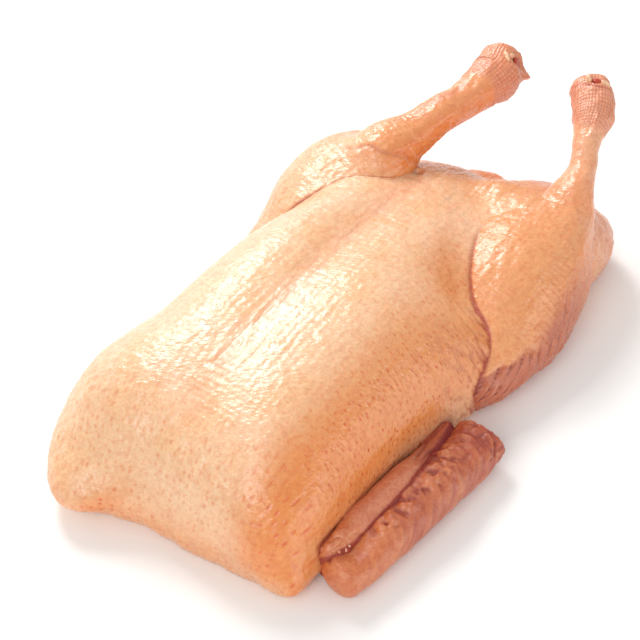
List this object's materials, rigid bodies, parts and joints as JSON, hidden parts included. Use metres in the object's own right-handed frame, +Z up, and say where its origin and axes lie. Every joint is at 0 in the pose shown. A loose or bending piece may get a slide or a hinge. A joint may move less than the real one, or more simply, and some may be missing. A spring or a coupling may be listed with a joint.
{
  "type": "whole raw duck",
  "caption": "Whole raw duck, plucked and oven-ready, lying on its back with the breast up, legs raised and cut off at the ankles, wings folded along the sides",
  "frame": {"origin": "the centre of the bounding box in plan, on the surface that the bird lies on", "axes": "+X from the neck end to the tail and the cut ankles, +Y towards the side away from the viewer, +Z up out of the breast"},
  "size_m": [0.376, 0.212, 0.1033],
  "materials": {
    "raw_skin": "moist, slightly glossy raw poultry skin"
  },
  "bodies": {
    "root": {"duck": "raw_skin"}
  },
  "joints": []
}
